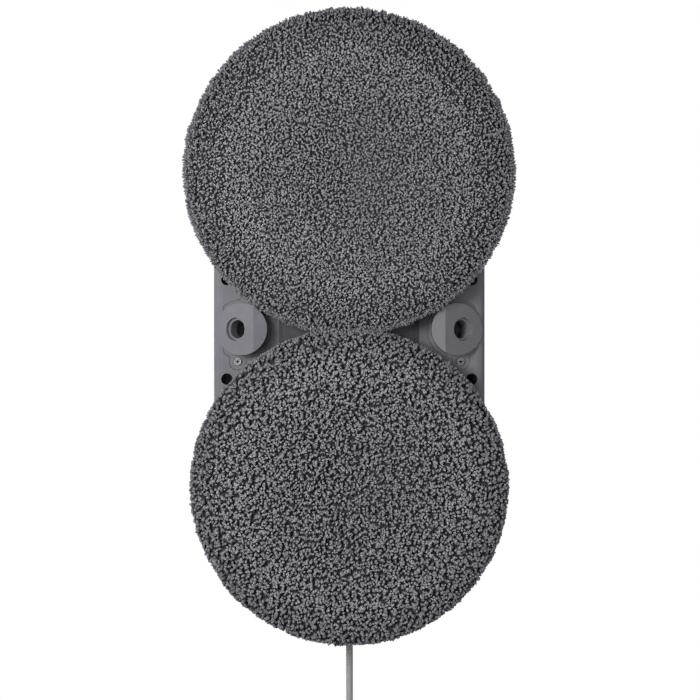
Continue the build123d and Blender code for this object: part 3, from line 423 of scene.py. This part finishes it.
FINISHES = {
    "casing_plastic": plastic("casing_plastic", grey(0.19), 0.42, dust=0.3),
    "shell_plastic": plastic("shell_plastic", grey(0.24), 0.40, dust=0.3),
    "dark_plastic": plastic("dark_plastic", grey(0.03), 0.45, rub=0.15),
    "gloss_black": plastic(
        "gloss_black",
        grey(0.012),
        0.2,
        rub=0.1,
        dust=0.15,
        depth=0.0,
        Coat_Weight=0.4,
    ),
    # Dark root and light tip greys: painted shade and painted highlight along each tuft.
    "pad_pile": yarn("pad_pile", 0.085, 0.27, 0.43),
    "hook_tape": weave("hook_tape", grey(0.02), 1100.0, 0.4),
    "seal_rubber": plastic("seal_rubber", grey(0.018), 0.75, rub=0.1),
    "dark_lens": plastic("dark_lens", LENS_BLACK, 0.06, depth=0.0, Coat_Weight=1.0),
    "lit_ring": plastic(
        "lit_ring",
        RING_BLUE,
        0.3,
        rub=0.05,
        depth=0.01,
        Emission_Color=RING_GLOW,
        Emission_Strength=0.35,
        Subsurface_Weight=0.3,
        Subsurface_Scale=0.002,
    ),
    "button_white": plastic("button_white", OFF_WHITE, 0.3, depth=0.01, Coat_Weight=0.2),
    "rocker_black": plastic("rocker_black", grey(0.02), 0.28, depth=0.01),
    "screw_steel": metal("screw_steel", grey(0.58, 0.02), 0.4, tarnish=0.15),
    "screw_black": metal("screw_black", grey(0.02), 0.4),
    "shaft_steel": metal("shaft_steel", grey(0.5), 0.28),
    "bearing_steel": metal("bearing_steel", grey(0.58), 0.16, tarnish=0.08),
    "pinion_brass": metal("pinion_brass", BRASS, 0.26),
    "gear_nylon": plastic("gear_nylon", NYLON, 0.42, Subsurface_Weight=0.15),
    "plate_aluminium": metal("plate_aluminium", grey(0.66), 0.34, depth=0.02),
    "motor_steel": metal("motor_steel", grey(0.42), 0.32),
    "winding_copper": wire("winding_copper", DARK_COPPER, BRIGHT_COPPER, 700.0, 0.9),
    "circuit_board": wire("circuit_board", BOARD_GREEN, TRACK_GREEN, 130.0, 0.0),
    "wire_sheath": plastic("wire_sheath", grey(0.03), 0.5),
    "cord_sheath": plastic(
        "cord_sheath",
        grey(0.38, 0.02),
        0.55,
        rub=0.0,
        dust=0.35,
        depth=0.015,
    ),
    "plug_plastic": plastic("plug_plastic", grey(0.27, 0.02), 0.4),
    "plate_label": plastic("plate_label", grey(0.42), 0.35, depth=0.005),
    "tie_fabric": weave("tie_fabric", grey(0.035), 1000.0, 0.25),
}
# The service hatch gets a darker grey than the pan: painted shade in the waist between the pads.
HATCH_SHADE_PLASTIC = plastic("hatch_painted_shade", grey(0.082), 0.5, dust=0.3)
# The backing's near-black grey is painted shade in the gaps between the tufts.
PAD_BACKING = weave("pad_backing", grey(0.05), 700.0, 0.3)
BINDING_TAPE = weave("binding_tape", grey(0.035), 900.0, 0.3)


def dress_nodes():
    """Gives every CAD node the finish of its own slot, and the hatch a darker one than the pan:
    painted shade where the pads shadow the waist between them.
    """
    for part in frame["record"]["subparts"]:
        materials = frame["nodes"][part["node"]].data.materials
        materials.clear()
        hatch = part["node"] == "service_hatch"
        materials.append(HATCH_SHADE_PLASTIC if hatch else FINISHES[part["material_slot"]])


dress_nodes()
lead.data.materials.append(FINISHES["cord_sheath"])

# ---------------------------------------------------------------- mesh makers


def mesh_object(name, points, faces, material, body):
    """A smooth mesh that rides on a body and takes the finish it is given."""
    data = bpy.data.meshes.new(name)
    data.from_pydata(points, [], faces)
    data.shade_smooth()
    data.materials.append(material)
    made = bpy.data.objects.new(name, data)
    bpy.context.scene.collection.objects.link(made)
    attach(made, body)
    return made


def turned(name, centre, profile, steps, material, body):
    """A closed ring or disc: the profile's (radius, height) points turned about an upright axis."""
    points = []
    for step in range(steps):
        angle = 2 * math.pi * step / steps
        across, along = math.cos(angle), math.sin(angle)
        points += [(centre[0] + r * across, centre[1] + r * along, z) for r, z in profile]
    count = len(profile)
    faces = []
    for step in range(steps):
        here, after = step * count, (step + 1) % steps * count
        for k in range(count):
            k_next = (k + 1) % count
            faces.append((here + k, here + k_next, after + k_next, after + k))
    return mesh_object(name, points, faces, material, body)


def unit(vectors):
    return vectors / np.linalg.norm(vectors, axis=1)[:, None]


FINGER_RINGS = ((0.0, 0.8), (0.4, 1.0), (0.72, 1.05), (0.94, 0.68))
FINGER_SIDES = 4
FINGER_CAP = 0.35


def fingers(name, roots, tips, bows, radii, tones, material, slot, body):
    """Soft round-ended lengths of yarn from roots to tips, each bowed sideways, in one mesh."""
    middles = (roots + tips) / 2 + bows
    columns = []
    for along, share in FINGER_RINGS:
        centres = (1 - along) ** 2 * roots + 2 * along * (1 - along) * middles + along**2 * tips
        heading = unit((1 - along) * (middles - roots) + along * (tips - middles))
        side = unit(np.cross(heading, np.array((0.31, 0.83, 0.47))))
        lift = np.cross(heading, side)
        for corner in range(FINGER_SIDES):
            angle = 2 * math.pi * corner / FINGER_SIDES
            spoke = math.cos(angle) * side + math.sin(angle) * lift
            columns.append(centres + spoke * (radii * share)[:, None])
    columns.append(tips + unit(tips - middles) * (radii * FINGER_CAP)[:, None])
    points = np.stack(columns, axis=1)
    count = points.shape[1]
    pattern = []
    for ring in range(len(FINGER_RINGS) - 1):
        for corner in range(FINGER_SIDES):
            beside = (corner + 1) % FINGER_SIDES
            low, high = ring * FINGER_SIDES, (ring + 1) * FINGER_SIDES
            pattern.append((low + corner, low + beside, high + beside, high + corner))
    last = (len(FINGER_RINGS) - 1) * FINGER_SIDES
    for corner in range(FINGER_SIDES):
        pattern.append((last + corner, last + (corner + 1) % FINGER_SIDES, count - 1))
    faces = []
    for start in range(0, len(roots) * count, count):
        faces += [tuple(start + k for k in face) for face in pattern]
    made = mesh_object(name, points.reshape(-1, 3).tolist(), faces, material, body)
    reach = [along for along, _ in FINGER_RINGS for _ in range(FINGER_SIDES)] + [1.0]
    for label, values in (("reach", np.tile(reach, len(roots))), ("tone", np.repeat(tones, count))):
        attribute = made.data.attributes.new(label, "FLOAT", "POINT")
        attribute.data.foreach_set("value", values.astype(np.float32))
    return made


# ---------------------------------------------------------------- pads

BACKING_R = 0.146
EDGE_START = 0.118
EDGE_DROP = 0.0035
DROP_START = 0.134
LUMP_COUNT = 150
LUMP_HEIGHT = 0.0013
KNOT_SPACING = 2.8
ROW_HEIGHT = 0.866
TIP_LOWEST = 0.0009
TIP_HIGHEST = 0.0027
RIM_TIP_LOWEST = 0.0019
RIM_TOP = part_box("left_pad")[1].z
PAD_TOP = 0.020
POCKET_R = 0.1405


def grid_spots(spacing, radius, rng):
    """Spots of a shaken six-sided grid inside a circle."""
    rows = int(radius / (spacing * ROW_HEIGHT)) + 1
    spots = []
    for row in range(-rows, rows + 1):
        shift = spacing / 2 * (row % 2)
        across = np.arange(-rows - 1, rows + 2) * spacing + shift
        along = np.full(len(across), row * spacing * ROW_HEIGHT)
        spots.append(np.stack((across, along), axis=1))
    spots = np.concatenate(spots)
    spots += rng.uniform(-0.42, 0.42, spots.shape) * spacing
    return spots[np.hypot(spots[:, 0], spots[:, 1]) < radius]


def rim_reach(spots, pad):
    """How far from the middle the outline lies in the direction of each spot."""
    angle = np.arctan2(spots[:, 1], spots[:, 0])
    return 1 / np.sqrt((np.cos(angle) / pad["half_x"]) ** 2 + (np.sin(angle) / pad["half_y"]) ** 2)


def pad_middle(side):
    low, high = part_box(f"{side}_pad")
    return (low + high) / 2


def pile(name, side, roots, tips, bows, radii, tones):
    """Fingers drawn about the origin, set on their pad."""
    middle = pad_middle(side)
    shift = np.array((middle.x, middle.y, 0))
    yarn_look = (FINISHES["pad_pile"], "pad_pile", f"{side}_disc")
    return fingers(name, roots + shift, tips + shift, bows, radii, tones, *yarn_look)


def pull_to_knots(spots, knots):
    """The way from each spot to the nearest knot."""
    tree = kdtree.KDTree(len(knots))
    for index, (x, y) in enumerate(knots):
        tree.insert((x, y, 0), index)
    tree.balance()
    nearest = [tree.find((x, y, 0))[1] for x, y in spots]
    return knots[nearest] - spots


def lumps(spots, rng):
    """How far the pad's outline swells or sinks in the direction of each spot."""
    waves = rng.uniform(-1, 1, LUMP_COUNT)
    share = np.arctan2(spots[:, 1], spots[:, 0]) / (2 * math.pi) % 1
    place = share * LUMP_COUNT
    return np.interp(place, np.arange(LUMP_COUNT + 1), np.append(waves, waves[0])) * LUMP_HEIGHT


def face_pile(side, pad, rng):
    """The tufts of the cleaning face. They gather in knots and spread outwards near the rim."""
    seeds = grid_spots(pad["spacing"], BACKING_R, rng)
    distance = np.hypot(seeds[:, 0], seeds[:, 1])
    outward = seeds / np.maximum(distance, 0.001)[:, None]
    edge = np.clip((distance - EDGE_START) / (BACKING_R - EDGE_START), 0, 1)
    room = rim_reach(seeds, pad) - pad["thickness"] - BACKING_R + lumps(seeds, rng)
    spots = seeds + outward * (room * edge)[:, None]
    knots = grid_spots(pad["spacing"] * KNOT_SPACING, BACKING_R * 1.06, rng)
    count = len(spots)
    turn = rng.uniform(0, 2 * math.pi, count)
    lean = rng.uniform(0.6, 1.7, count) * pad["thickness"]
    pull = pad["pull"] * (1 + 0.7 * edge)
    sideways = pull_to_knots(spots, knots) * pull[:, None]
    sideways += np.stack((np.cos(turn), np.sin(turn)), axis=1) * lean[:, None]
    past = np.clip(np.sum(sideways * outward, axis=1), 0, None) * (edge > 0.9)
    ends = spots + sideways - outward * past[:, None]
    drop = EDGE_DROP * np.clip((distance - DROP_START) / (BACKING_R - DROP_START), 0, 1) ** 2
    heights = rng.uniform(TIP_LOWEST, TIP_HIGHEST, count) + drop
    starts = spots - outward * (room * edge * 0.1)[:, None]
    roots = np.column_stack((starts, np.full(count, pad["depth"]) + drop))
    tips = np.column_stack((ends, heights))
    bows = np.column_stack((rng.normal(0, 0.0006, (count, 2)), (heights - roots[:, 2]) * 0.42))
    girth = 0.9 + 0.4 * (distance / BACKING_R) ** 2
    radii = pad["thickness"] / 2 * rng.uniform(0.8, 1.2, count) * girth
    # Tufts are toned darker towards the rim: painted shade at the pad's edge.
    tones = rng.uniform(0.75, 1.3, count) * (1 - 0.36 * edge) * pad["tone"]
    return pile(f"{side}_pad_pile", side, roots, tips, bows, radii, tones)


def rim_pile(side, pad, rng):
    """The tufts round the edge of the pad, which hang outwards and down."""
    spacing = pad["spacing"] * 1.1
    per_row = int(2 * math.pi * BACKING_R / spacing)
    heights = np.arange(pad["depth"] + 0.002, RIM_TOP - 0.0045, spacing * 0.85)
    offsets = np.repeat(np.arange(len(heights)) % 2 / 2, per_row)
    angle = np.tile(np.arange(per_row), len(heights)) + offsets
    count = len(angle)
    angle = (angle + rng.uniform(-0.4, 0.4, count)) * 2 * math.pi / per_row
    height = np.repeat(heights, per_row) + rng.uniform(-0.3, 0.3, count) * spacing
    outward = np.stack((np.cos(angle), np.sin(angle)), axis=1)
    along = np.stack((-np.sin(angle), np.cos(angle)), axis=1)
    room = rim_reach(outward, pad) - pad["thickness"] / 2 - BACKING_R + lumps(outward, rng)
    swell = np.sin(np.clip((RIM_TOP - height) / RIM_TOP, 0, 1) * math.pi) ** 0.5
    out = np.minimum(room * rng.uniform(0.8, 1.0, count), 0.004 + room * swell)
    spread = rng.uniform(-1.4, 1.4, count) * pad["thickness"]
    roots = np.column_stack((outward * BACKING_R, height))
    ends = outward * (BACKING_R + out)[:, None] + along * spread[:, None]
    hang = rng.uniform(0.001, 0.005, count)
    tips = np.column_stack((ends, np.maximum(height - hang, RIM_TIP_LOWEST)))
    bows = np.column_stack((outward * 0.002, rng.uniform(-0.0004, 0.0014, count)))
    radii = pad["thickness"] / 2 * rng.uniform(1.05, 1.4, count)
    # The rim tufts get a low tone: painted shade on the pad's outward-facing edge.
    tones = rng.uniform(0.36, 0.68, count)
    return pile(f"{side}_rim_pile", side, roots, tips, bows, radii, tones)


BACKING_CORNER = 0.005
CORNER_STEPS = 6
BACKING_EYE = 0.0005


def pad_backing(side, pad):
    """The fabric cup that the tufts are sewn in, with the pocket of the pad holder."""
    profile = [(BACKING_EYE, PAD_TOP), (BACKING_EYE, pad["depth"])]
    for step in range(CORNER_STEPS + 1):
        angle = math.pi / 2 * step / CORNER_STEPS
        reach = BACKING_R - BACKING_CORNER + BACKING_CORNER * math.sin(angle)
        rise = BACKING_CORNER - BACKING_CORNER * math.cos(angle)
        profile.append((reach, pad["depth"] + rise))
    pocket, lip = POCKET_R + 0.0004, RIM_TOP - 0.002
    profile += [(BACKING_R, lip), (pocket, lip), (pocket, PAD_TOP)]
    name = f"{side}_pad_backing"
    made = turned(name, pad_middle(side), profile, 160, PAD_BACKING, f"{side}_disc")
    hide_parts(f"{side}_pad")


BINDING_R = 0.1446
BINDING_HALF_W = 0.0037
BINDING_HALF_H = 0.0024
BINDING_POINTS = 16
STITCHES = 230
STITCH_R = 0.00035
STITCH_SLANT = 0.012


def rounded(value, squareness):
    """A sine or cosine pushed outwards, for an outline between a circle and a square."""
    return math.copysign(abs(value) ** squareness, value)


def pad_binding(side, rng):
    """The folded tape sewn over the pad's upper edge, and its overlock stitches."""
    profile = []
    for step in range(BINDING_POINTS):
        angle = -2 * math.pi * step / BINDING_POINTS
        r = BINDING_R + BINDING_HALF_W * rounded(math.cos(angle), 0.7)
        z = RIM_TOP - BINDING_HALF_H + BINDING_HALF_H * rounded(math.sin(angle), 0.7)
        profile.append((r, z))
    name = f"{side}_pad_binding"
    turned(name, pad_middle(side), profile, 220, BINDING_TAPE, f"{side}_disc")
    angle = (np.arange(STITCHES) + rng.uniform(-0.12, 0.12, STITCHES)) * 2 * math.pi / STITCHES
    before = np.stack((np.cos(angle), np.sin(angle)), axis=1)
    inner = before * (BINDING_R - BINDING_HALF_W * 0.75)
    after = np.stack((np.cos(angle + STITCH_SLANT), np.sin(angle + STITCH_SLANT)), axis=1)
    start = np.column_stack((inner, np.full(STITCHES, RIM_TOP - BINDING_HALF_H / 2)))
    outer = after * (BINDING_R + BINDING_HALF_W)
    stop = np.column_stack((outer, np.full(STITCHES, RIM_TOP - BINDING_HALF_H * 1.2)))
    lifts = np.column_stack((after * 0.0008, np.full(STITCHES, 0.0016)))
    radii = np.full(STITCHES, STITCH_R)
    tones = rng.uniform(1.2, 1.8, STITCHES)
    pile(f"{side}_binding_stitches", side, start, stop, lifts, radii, tones)


# Tuft spacing, thickness and depth of the pile, its outline's half sides, and its tone.
PADS = {
    "left": {
        "spacing": 0.0021,
        "thickness": 0.0016,
        "depth": 0.0058,
        "pull": 0.2,
        "half_x": 0.1572,
        "half_y": 0.1598,
        "tone": 1.03,
        "seed": 11,
    },
    "right": {
        "spacing": 0.0026,
        "thickness": 0.0021,
        "depth": 0.0075,
        "pull": 0.3,
        "half_x": 0.1522,
        "half_y": 0.1529,
        "tone": 0.92,
        "seed": 23,
    },
}


def make_pads():
    for side, pad in PADS.items():
        rng = np.random.default_rng(pad["seed"])
        face_pile(side, pad, rng)
        rim_pile(side, pad, rng)
        pad_backing(side, pad)
        pad_binding(side, rng)


make_pads()

# ---------------------------------------------------------------- cord tie

TIE_WIDTH = 0.016
TIE_THICKNESS = 0.0011
TIE_START = -0.9 * math.pi
TIE_STEPS = 64
TIE_TURNS = 1.22
TIE_COLUMNS = 5
LAP_START = 0.94


def coil_strap():
    """A woven strap round the coil, its end pressed down over its own start."""
    low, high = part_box("cord_tie")
    centre = (low + high) / 2
    half_x = (high.x - low.x) / 2 - TIE_THICKNESS * 1.6
    half_z = (high.z - low.z) / 2 - TIE_THICKNESS * 1.6
    path = []
    for step in range(int(TIE_STEPS * TIE_TURNS) + 1):
        angle = TIE_START + 2 * math.pi * step / TIE_STEPS
        past = (step / TIE_STEPS - LAP_START) / (1 - LAP_START)
        lap = TIE_THICKNESS * 1.05 * min(1.0, max(0.0, past))
        x = (half_x + lap) * rounded(math.cos(angle), 0.3)
        z = (half_z + lap) * rounded(math.sin(angle), 0.3)
        path.append((centre.x + x, centre.z + z))
    points = []
    for index, (x, z) in enumerate(path):
        waist = 0.0003 * math.sin(index * 0.7)
        for column in range(TIE_COLUMNS):
            share = column / (TIE_COLUMNS - 1) - 0.5
            points.append((x, centre.y + share * (TIE_WIDTH - 0.001) + waist, z))
    faces = []
    for index in range(len(path) - 1):
        for column in range(TIE_COLUMNS - 1):
            k = index * TIE_COLUMNS + column
            faces.append((k, k + 1, k + TIE_COLUMNS + 1, k + TIE_COLUMNS))
    fabric = FINISHES["tie_fabric"]
    strap = mesh_object("coil_strap", points, faces, fabric, "casing")
    thick = strap.modifiers.new("thickness", "SOLIDIFY")
    thick.thickness = TIE_THICKNESS
    thick.offset = 0
    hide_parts("cord_tie")
    return strap


strap = coil_strap()

# ---------------------------------------------------------------- floor, world and lights


FLOOR_HALF = 4.0
FLOOR_CORNERS = ((-1, -1), (1, -1), (1, 1), (-1, 1))
AMBIENT = 0.07


def pale_floor():
    """A pale floor that can't be seen, and throws no shadow, from underneath."""
    data = bpy.data.meshes.new("floor")
    corners = [(x * FLOOR_HALF, y * FLOOR_HALF, 0) for x, y in FLOOR_CORNERS]
    data.from_pydata(corners, [], [(0, 1, 2, 3)])
    floor = bpy.data.objects.new("floor", data)
    bpy.context.scene.collection.objects.link(floor)
    material = bpy.data.materials.new("floor_paper")
    material.use_nodes = True
    tree = material.node_tree
    tree.nodes.clear()
    paper = node(tree, "BsdfPrincipled", {"Base Color": PAPER_WHITE, "Roughness": 0.9})
    clear = node(tree, "BsdfTransparent")
    back = node(tree, "NewGeometry").outputs["Backfacing"]
    shown = node(tree, "MixShader", {0: back, 1: paper.outputs[0], 2: clear.outputs[0]})
    node(tree, "OutputMaterial", {"Surface": shown.outputs[0]})
    data.materials.append(material)
    floor.visible_shadow = False
    floor.visible_diffuse = False
    floor.visible_glossy = False


def white_room():
    """White to the camera, and a weak even light on the object."""
    world = bpy.data.worlds.new("white_room")
    world.use_nodes = True
    tree = world.node_tree
    tree.nodes.clear()
    seen = node(tree, "LightPath").outputs["Is Camera Ray"]
    strength = maths(tree, "ADD", maths(tree, "MULTIPLY", seen, 1.0 - AMBIENT), AMBIENT)
    light = node(tree, "Background", {"Color": WHITE, "Strength": strength})
    node(tree, "OutputWorld", {"Surface": light.outputs[0]})
    bpy.context.scene.world = world


def soft_light(name, place, aim, size, power, gloss=True):
    """A round soft light. Without gloss it lights surfaces but is never mirrored in them."""
    data = bpy.data.lights.new(name, "AREA")
    data.shape = "DISK"
    data.size = size
    data.energy = power
    light = bpy.data.objects.new(name, data)
    bpy.context.scene.collection.objects.link(light)
    light.location = place
    light.rotation_euler = (Vector(aim) - Vector(place)).to_track_quat("-Z", "Y").to_euler()
    light.visible_glossy = gloss


UNDERSIDE = (0, 0, 0.02)
TOP = (0, 0, 0.08)
pale_floor()
white_room()
soft_light("low_key", (0.2, -0.6, -1.0), UNDERSIDE, 0.5, 9.5, gloss=False)
soft_light("low_side", (0.1, -1.3, -0.4), (0, 0, 0.03), 0.7, 5.5, gloss=False)
soft_light("low_fill", (-0.2, 1.25, -1.05), UNDERSIDE, 1.0, 7, gloss=False)
soft_light("low_gloss", (0.0, -0.5, -1.9), UNDERSIDE, 0.9, 5)
soft_light("high_key", (-0.9, -1.4, 1.9), TOP, 1.2, 55)
soft_light("high_fill", (1.6, 1.0, 1.5), TOP, 1.8, 22, gloss=False)
bpy.context.scene.view_settings.view_transform = "Standard"
